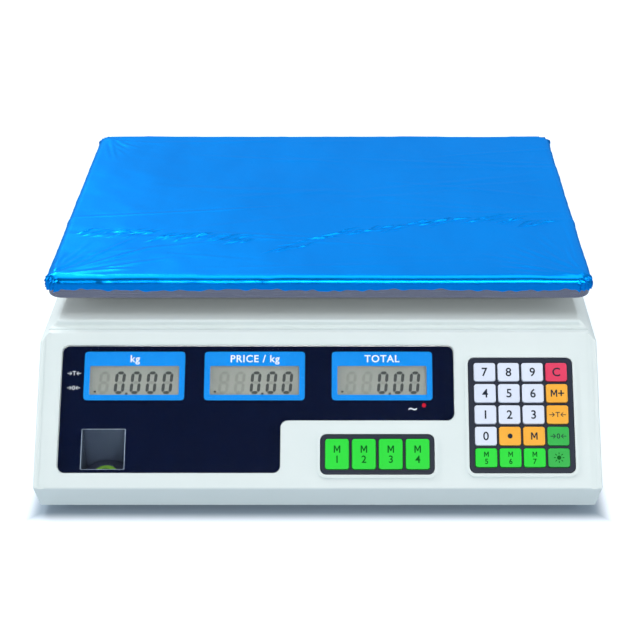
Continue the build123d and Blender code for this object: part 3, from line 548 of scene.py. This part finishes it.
def frameOutline(x, drop, grow=0.0):
    return rectangleOutline(x, -(drop - prints["frameRise"]), prints["frameWidth"] + grow,
                            prints["frameHeight"] + grow, 2.2)


def viewOutline(x, drop):
    return rectangleOutline(x, -drop, prints["viewWidth"], prints["viewHeight"], 0.8)


def printedBacking():  # back of each window: navy field, blue frames, white words
    sheet = prints
    outline = [(sheet["left"], -sheet["bottom"]), (sheet["neck"], -sheet["bottom"]),
               (sheet["neck"], -sheet["mid"]), (sheet["right"], -sheet["mid"]),
               (sheet["right"], -sheet["top"]), (sheet["left"], -sheet["top"])]
    field = [roundedOutline(outline, sheet["corner"])]
    field += [frameOutline(x, sheet["frontDrop"]) for x, words, digits in frontDisplays.values()]
    field.append(rectangleOutline((sheet["viewLeft"] + sheet["viewRight"]) / 2,
                                  -(sheet["viewTop"] + sheet["viewBottom"]) / 2,
                                  sheet["viewRight"] - sheet["viewLeft"],
                                  sheet["viewBottom"] - sheet["viewTop"], 0.6))
    layer = Matrix.Translation((0, 0, sheet["lift"] * mm))
    placed("front_window_print", flatShape(field, sheet["thickness"]), front @ layer, inks["navy"])
    rearField = [rectangleOutline(0, -sheet["rearCentre"], sheet["rearWidth"], sheet["rearHeight"], 5)]
    rearField += [frameOutline(x, sheet["rearDrop"]) for x, words, digits in rearDisplays.values()]
    placed("rear_window_print", flatShape(rearField, sheet["thickness"]), back @ layer, inks["navy"])
    for matrix, displays, drop, side in ((front, frontDisplays, sheet["frontDrop"], "front"),
                                         (back, rearDisplays, sheet["rearDrop"], "rear")):
        for name, (x, words, digits) in displays.items():
            ring = flatShape([frameOutline(x, drop, -0.02), viewOutline(x, drop)], sheet["thickness"])
            placed(f"{side}_{name}_frame", ring, matrix @ layer, inks["blue"])
            lettering = textMesh(words, sheet["letter"], 0.1, 1.12)
            lettering.transform(Matrix.Translation((x, -(drop - 13.4), sheet["lift"] + 0.05)))
            placed(f"{side}_{name}_words", lettering, matrix, inks["white"])


printedBacking()

# one digit of seven bars, in mm
segments = {"height": 14.2, "width": 6.4, "bar": 1.9, "gap": 0.2, "pitch": 9.8, "slant": 0.09, "count": 5,
            "rightMargin": 4.2, "lift": -4.9, "ghostLift": -4.93, "thickness": 0.02, "point": 1.5,
            "pointIn": 0.6, "pointDrop": 7, "below": 1.0}


def segmentOutlines():  # seven six-sided bars, a to g, round the middle of one digit
    h, w, b, g = segments["height"] / 2, segments["width"] / 2, segments["bar"] / 2, segments["gap"]

    def across(y):
        inner = w - 2 * b - g
        return [(-inner - b, y), (-inner, y + b), (inner, y + b),
                (inner + b, y), (inner, y - b), (-inner, y - b)]

    def upright(x, low, high):
        return [(x, low + g), (x + b, low + b + g), (x + b, high - b - g),
                (x, high - g), (x - b, high - b - g), (x - b, low + b + g)]

    return {"a": across(h - b), "g": across(0), "d": across(b - h), "b": upright(w - b, 0, h - b),
            "f": upright(b - w, 0, h - b), "c": upright(w - b, b - h, 0), "e": upright(b - w, b - h, 0)}


def slanted(points, x=0.0):
    return [(px + segments["slant"] * py + x, py) for px, py in points]


def ghostRow():  # the same unlit digit repeated along each display
    tree = bpy.data.node_groups.new("unlitDigits", "GeometryNodeTree")
    for name, kind in (("Digit", "NodeSocketObject"), ("Count", "NodeSocketInt"),
                       ("Pitch", "NodeSocketFloat"), ("Finish", "NodeSocketMaterial")):
        tree.interface.new_socket(name, in_out="INPUT", socket_type=kind)
    tree.interface.new_socket("Geometry", in_out="OUTPUT", socket_type="NodeSocketGeometry")
    given = addNode(tree, "NodeGroupInput")
    digit = addNode(tree, "GeometryNodeObjectInfo", {}, {"Object": given.outputs["Digit"]})
    offset = addNode(tree, "ShaderNodeCombineXYZ", {}, {"X": given.outputs["Pitch"]})
    line = addNode(tree, "GeometryNodeMeshLine", {}, {"Count": given.outputs["Count"],
                                                     "Offset": offset.outputs["Vector"]})
    copies = addNode(tree, "GeometryNodeInstanceOnPoints", {}, {"Points": line.outputs["Mesh"],
                                                               "Instance": digit.outputs["Geometry"]})
    real = addNode(tree, "GeometryNodeRealizeInstances", {}, {"Geometry": copies.outputs["Instances"]})
    finish = addNode(tree, "GeometryNodeSetMaterial", {}, {"Geometry": real.outputs["Geometry"],
                                                          "Material": given.outputs["Finish"]})
    addNode(tree, "NodeGroupOutput", {}, {"Geometry": finish.outputs["Geometry"]})
    return tree


def repeated(tree, mesh, values):  # runs a geometry tree once and keeps the plain mesh
    pattern = bpy.data.objects.new("pattern", mesh)
    holder = bpy.data.objects.new("holder", bpy.data.meshes.new("holder"))
    for piece in (pattern, holder):
        scene.collection.objects.link(piece)
    modifier = holder.modifiers.new("repeat", "NODES")
    modifier.node_group = tree
    for item in tree.interface.items_tree:
        if item.in_out == "INPUT":
            isPattern = item.socket_type == "NodeSocketObject"
            modifier[item.identifier] = pattern if isPattern else values[item.name]
    made = evaluatedMesh(holder)
    bpy.data.objects.remove(pattern)
    return made


def displayFaces():
    shapes = segmentOutlines()
    ghosts = ghostRow()
    zeroBars = "abcdef"
    for matrix, displays, drop, side in ((front, frontDisplays, prints["frontDrop"], "front"),
                                         (back, rearDisplays, prints["rearDrop"], "rear")):
        for name, (x, words, digits) in displays.items():
            lastX = prints["viewWidth"] / 2 - segments["rightMargin"] - segments["width"] / 2
            eight = flatShape([slanted(points) for points in shapes.values()], segments["thickness"])
            row = repeated(ghosts, eight, {"Count": segments["count"], "Pitch": segments["pitch"],
                                           "Finish": inks["ghost"]})
            firstX = x + lastX - segments["pitch"] * (segments["count"] - 1)
            row.transform(Matrix.Translation((firstX, -drop - segments["below"], segments["ghostLift"])))
            placed(f"{side}_{name}_unlit", row, matrix, inks["ghost"])
            outlines = []
            column = 0
            for mark in reversed(digits):
                markX = x + lastX - segments["pitch"] * column
                if mark == ".":
                    half = segments["point"] / 2
                    dotX, dotY = markX + segments["pitch"] / 2 - segments["pointIn"], -segments["pointDrop"]
                    outlines.append([(dotX - half, dotY - half), (dotX + half, dotY - half),
                                     (dotX + half, dotY + half), (dotX - half, dotY + half)])
                    continue
                outlines += [slanted(shapes[bar], markX) for bar in zeroBars]
                column += 1
            outlines.append(rectangleOutline(x - 24.5, -5.6, 1.5, 1.1, 0.3))
            lit = flatShape(outlines, segments["thickness"])
            lit.transform(Matrix.Translation((0, -drop - segments["below"], segments["lift"])))
            placed(f"{side}_{name}_digits", lit, matrix, inks["lit"])


displayFaces()
print("windows printed and displays lit")


def smallMarks():  # tare and zero marks, mains mark and its lamp
    marks = {"tare": ("→T←", -150.6, 25.5, 2.7), "zero": ("→0←", -150.6, 34.6, 2.7),
             "mains": ("~", 58.0, 47.4, 6.5)}
    for name, (words, x, drop, height) in marks.items():
        letter = textMesh(words, height, 0.05 if words == "~" else 0.0, 0.9)
        letter.transform(Matrix.Translation((x, -drop, prints["lift"] + 0.05)))
        placed(f"mark_{name}", letter, front, inks["white"])
    lamp = flatShape([rectangleOutline(65.0, -45.4, 2.6, 2.6, 1.25)], 0.04)
    placed("lamp_mains", lamp, front @ Matrix.Translation((0, 0, (prints["lift"] + 0.06) * mm)), inks["red"])


smallMarks()

# liner of the level window, in mm
well = {"left": -145.4, "right": -116.6, "sheet": 0.5, "floor": 7.25, "rear": -133.6, "under": -5.2,
        "from": 58.0, "to": 88.0}


def levelWell():  # slate liner behind the level window, with the bubble, drawn as a painted white highlight ring, and its circle
    walls = []
    for x in (well["left"], well["right"]):
        corners = [front @ Vector((x * mm, -drop * mm, well["under"] * mm))
                   for drop in (well["from"], well["to"])]
        outline = [(corners[0].y / mm, corners[0].z / mm), (corners[1].y / mm, corners[1].z / mm),
                   (corners[1].y / mm, well["floor"]), (well["rear"], well["floor"]),
                   (well["rear"], corners[0].z / mm)]
        wall = flatShape([outline], well["sheet"])
        wall.transform(Matrix(((0, 0, 1, x), (1, 0, 0, 0), (0, 1, 0, 0), (0, 0, 0, 1))))
        walls.append(wall)
    height = (front @ Vector((0, -well["from"] * mm, well["under"] * mm))).z / mm
    plate = flatShape([rectangleOutline((well["left"] + well["right"]) / 2, (height + well["floor"]) / 2,
                                        well["right"] - well["left"], height - well["floor"], 0.5)],
                      well["sheet"])
    plate.transform(Matrix(((1, 0, 0, 0), (0, 0, -1, well["rear"]), (0, 1, 0, 0), (0, 0, 0, 1))))
    sheet = prints
    x, y = (sheet["viewLeft"] + sheet["viewRight"]) / 2, -(sheet["viewTop"] + sheet["viewBottom"]) / 2
    width, tall = sheet["viewRight"] - sheet["viewLeft"], sheet["viewBottom"] - sheet["viewTop"]
    rim = flatShape([rectangleOutline(x, y, width, tall, 0.6),
                     rectangleOutline(x, y, width - 0.9, tall - 0.5, 0.5)], sheet["thickness"])
    # thin pale ring round the level window: painted highlight where the edge of the window catches the light
    placed("level_view_edge", rim, front @ Matrix.Translation((0, 0, sheet["lift"] * mm)), inks["edge"])
    placed("level_well", joined(walls + [plate]), Matrix.Identity(4), wellFinish)
    low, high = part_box("level_vial")
    middle = (low + high) / 2
    # the level circle is print; the white bubble ring is a painted highlight, the bright edge of the air bubble
    for name, radius, width, x, ink in (("level_circle", 3.4, 0.16, 0.0, "legend"),
                                        ("bubble_rim", 2.2, 0.2, 0.7, "white")):
        ring = bpy.data.curves.new(name, "CURVE")
        ring.dimensions = "3D"
        ring.bevel_depth = width * mm
        ring.bevel_resolution = 2
        spline = ring.splines.new("POLY")
        spline.points.add(47)
        spline.use_cyclic_u = True
        for index, point in enumerate(spline.points):
            angle = index / 48 * 2 * math.pi
            point.co = (middle.x + (x + radius * math.cos(angle)) * mm,
                        middle.y + radius * math.sin(angle) * mm, high.z + 0.02 * mm, 1)
        holder = bpy.data.objects.new(name, ring)
        scene.collection.objects.link(holder)
        addPiece(name, evaluatedMesh(holder), inks[ink], "housing", 60)


wellFinish = mouldedPlastic("mouldedNylonSlateWell", "3E4A5E", "55637A", 0.45)
levelWell()

# key legends, by the height of their capitals in mm, and the lamp sign: its disc and its rays
legends = {"digit": 5.2, "small": 3.1, "stacked": 4.4, "letter": 4.4, "point": 8.0, "lift": 0.03}
sunSign = {"disc": 1.3, "near": 2.0, "far": 3.2, "half": 0.25}
keyWords = {f"key_{d}": str(d) for d in range(10)}
keyWords.update({"key_clear": "C", "key_memory_plus": "M+", "key_point": "•", "key_memory": "M",
                 "key_tare": "→T←", "key_zero": "→0←"})
keyWords.update({f"key_m{d}": f"M{d}" for d in range(1, 8)})
letterM = [(-0.45, -0.5), (-0.45, 0.5), (-0.25, 0.5), (0, -0.02), (0.25, 0.5), (0.45, 0.5), (0.45, -0.5),
           (0.28, -0.5), (0.28, 0.2), (0.06, -0.28), (-0.06, -0.28), (-0.28, 0.2), (-0.28, -0.5)]


def centred(mesh, x=0.0, y=0.0):
    spots = [v.co for v in mesh.vertices]
    middleX = (min(spot.x for spot in spots) + max(spot.x for spot in spots)) / 2
    middleY = (min(spot.y for spot in spots) + max(spot.y for spot in spots)) / 2
    mesh.transform(Matrix.Translation((x - middleX, y - middleY, 0)))
    return mesh


def memoryLetter(height, x=0.0, y=0.0):  # a bold capital M, drawn
    return flatShape([[(x + px * height, y + py * height) for px, py in letterM]], 0.06)


def faceBox(node, matrix):  # limits of a node in the plane of a sloping face
    inverse = matrix.inverted()
    points = [inverse @ v.co for v in nodes[node].data.vertices]
    return [Vector(func(p[axis] for p in points) for axis in range(3)) for func in (min, max)]


def keyLegends():
    bodies = frame["record"]["behaviour"]["bodies"]
    bodyOf = {node: body for body, members in bodies.items() for node in members}
    for node, words in keyWords.items():
        low, high = faceBox(node, front)
        middle = (low + high) / 2
        memoryKey = words[0] == "M" and words[-1].isdigit()
        if memoryKey:
            height = legends["stacked"] if (high.y - low.y) > 15 * mm else legends["small"]
            lettering = joined([memoryLetter(height, 0, 0.68 * height),
                                centred(textMesh(words[1], height, 0.07), 0, -0.72 * height)])
        elif words[0] == "M":
            shift = -1.8 if len(words) > 1 else 0.0
            parts = [memoryLetter(legends["letter"], shift)]
            if len(words) > 1:
                parts.append(centred(textMesh("+", legends["digit"], 0.1), 2.6))
            lettering = joined(parts)
        elif "→" in words:
            lettering = centred(textMesh(words, legends["small"], 0.03))
        else:
            height = legends["point"] if words == "•" else legends["digit"]
            lettering = centred(textMesh(words, height, 0.1))
        lettering.transform(Matrix.Scale(mm, 4))
        lettering.transform(Matrix.Translation((middle.x, middle.y, high.z + legends["lift"] * mm)))
        lettering.transform(front)
        ink = inks["legendGreen"] if memoryKey else inks["legend"]
        addPiece(f"{node}_legend", lettering, ink, bodyOf[node])
    low, high = faceBox("key_light", front)
    middle = (low + high) / 2
    turns = [step / 16 * 2 * math.pi for step in range(16)]
    outlines = [[(sunSign["disc"] * math.cos(turn), sunSign["disc"] * math.sin(turn)) for turn in turns]]
    near, far, half = sunSign["near"], sunSign["far"], sunSign["half"]
    for turn in turns[::2]:
        c, s = math.cos(turn), math.sin(turn)
        outlines.append([(c * r - s * w, s * r + c * w)
                         for r, w in ((near, -half), (far, -half), (far, half), (near, half))])
    sun = flatShape(outlines, 0.06)
    sun.transform(Matrix.Scale(mm, 4))
    sun.transform(Matrix.Translation((middle.x, middle.y, high.z + legends["lift"] * mm)))
    sun.transform(front)
    addPiece("key_light_legend", sun, inks["legendGreen"], bodyOf["key_light"])


keyLegends()
print("keys printed")

# paper sweep: its half side in m, and how far its glow fades in and out round the housing in mm
studio = {"floorLift": -0.3, "floorDark": "98A9B8", "floorLight": "A0B0BE", "glow": 0.74, "shadeIn": 3.0,
          "shadeOut": 9.0, "side": 6.0}


def makeFloor():
    side = studio["side"]
    mesh = bpy.data.meshes.new("studioFloor")
    z = studio["floorLift"] * mm
    mesh.from_pydata([(-side, -side, z), (side, -side, z), (side, side, z), (-side, side, z)], [],
                     [(0, 1, 2, 3)])
    floor = bpy.data.objects.new("studio_floor", mesh)
    scene.collection.objects.link(floor)
    material, tree, shader, coordinates = startMaterial("mattPaperSweep", Roughness=0.9)
    mottle(tree, shader, coordinates, studio["floorDark"], studio["floorLight"], 400)
    shader.inputs["Specular IOR Level"].default_value = 0.1
    glow = addNode(tree, "ShaderNodeEmission", {"Color": (1, 1, 1, 1)})
    path = addNode(tree, "ShaderNodeLightPath")
    # painted contact shadow: no glow under the housing, so the gap below its skirt stays dark
    low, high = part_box("upper_housing")
    axes = addNode(tree, "ShaderNodeSeparateXYZ", {}, {0: coordinates})
    outside = []
    for axis, half in (("X", (high.x - low.x) / 2), ("Y", (high.y - low.y) / 2)):
        distance = addNode(tree, "ShaderNodeMath", {}, {0: axes.outputs[axis]}, operation="ABSOLUTE")
        outside.append(addNode(tree, "ShaderNodeMath", {1: half}, {0: distance.outputs["Value"]},
                               operation="SUBTRACT"))
    past = addNode(tree, "ShaderNodeMath", {}, {0: outside[0].outputs["Value"],
                                                1: outside[1].outputs["Value"]}, operation="MAXIMUM")
    clear = addNode(tree, "ShaderNodeMapRange",
                    {"From Min": -studio["shadeIn"] * mm, "From Max": studio["shadeOut"] * mm,
                     "To Min": 0.0, "To Max": studio["glow"]}, {"Value": past.outputs["Value"]},
                    interpolation_type="SMOOTHSTEP")
    seen = addNode(tree, "ShaderNodeMath", {}, {0: path.outputs["Is Camera Ray"], 1: clear.outputs["Result"]},
                   operation="MULTIPLY")
    tree.links.new(seen.outputs["Value"], glow.inputs["Strength"])
    both = addNode(tree, "ShaderNodeAddShader", {}, {0: shader.outputs["BSDF"], 1: glow.outputs["Emission"]})
    tree.links.new(both.outputs["Shader"], tree.nodes["Material Output"].inputs["Surface"])
    mesh.materials.append(material)


# each lamp: its place and its size in m, and its power in W
lamps = {"key": ((-0.8, 0.75, 1.25), (0.9, 0.6), 13.0), "front": ((0.3, -1.75, 0.98), (1.5, 0.3), 19.0),
         "top": ((0.0, 0.05, 1.6), (1.7, 1.0), 10.0), "left": ((-1.5, -0.6, 0.6), (0.6, 0.8), 7.0),
         "right": ((1.5, -0.5, 0.7), (0.6, 0.8), 6.0)}


def makeLamps():
    for name, (place, size, watts) in lamps.items():
        data = bpy.data.lights.new(name, "AREA")
        data.shape = "RECTANGLE"
        data.size, data.size_y = size
        data.energy = watts
        lamp = bpy.data.objects.new(name, data)
        lamp.location = place
        aim = Vector((0, 0, 0.06)) - Vector(place)
        lamp.rotation_euler = aim.to_track_quat("-Z", "Y").to_euler()
        scene.collection.objects.link(lamp)
    world = bpy.data.worlds.new("studioRoom")
    scene.world = world
    world.use_nodes = True
    tree = world.node_tree
    direction = addNode(tree, "ShaderNodeTexCoord").outputs["Generated"]
    axes = addNode(tree, "ShaderNodeSeparateXYZ", {}, {0: direction})
    depth = addNode(tree, "ShaderNodeMapRange",
                    {"From Min": -0.4, "From Max": 0.75, "To Min": 0.02, "To Max": 0.8},
                    {"Value": axes.outputs["Y"]})
    tree.links.new(depth.outputs["Result"], tree.nodes["Background"].inputs["Strength"])
    tree.nodes["Background"].inputs["Color"].default_value = (0.94, 0.97, 1.0, 1.0)


makeFloor()
makeLamps()
scene.view_settings.view_transform = "Standard"
print("studio lit")
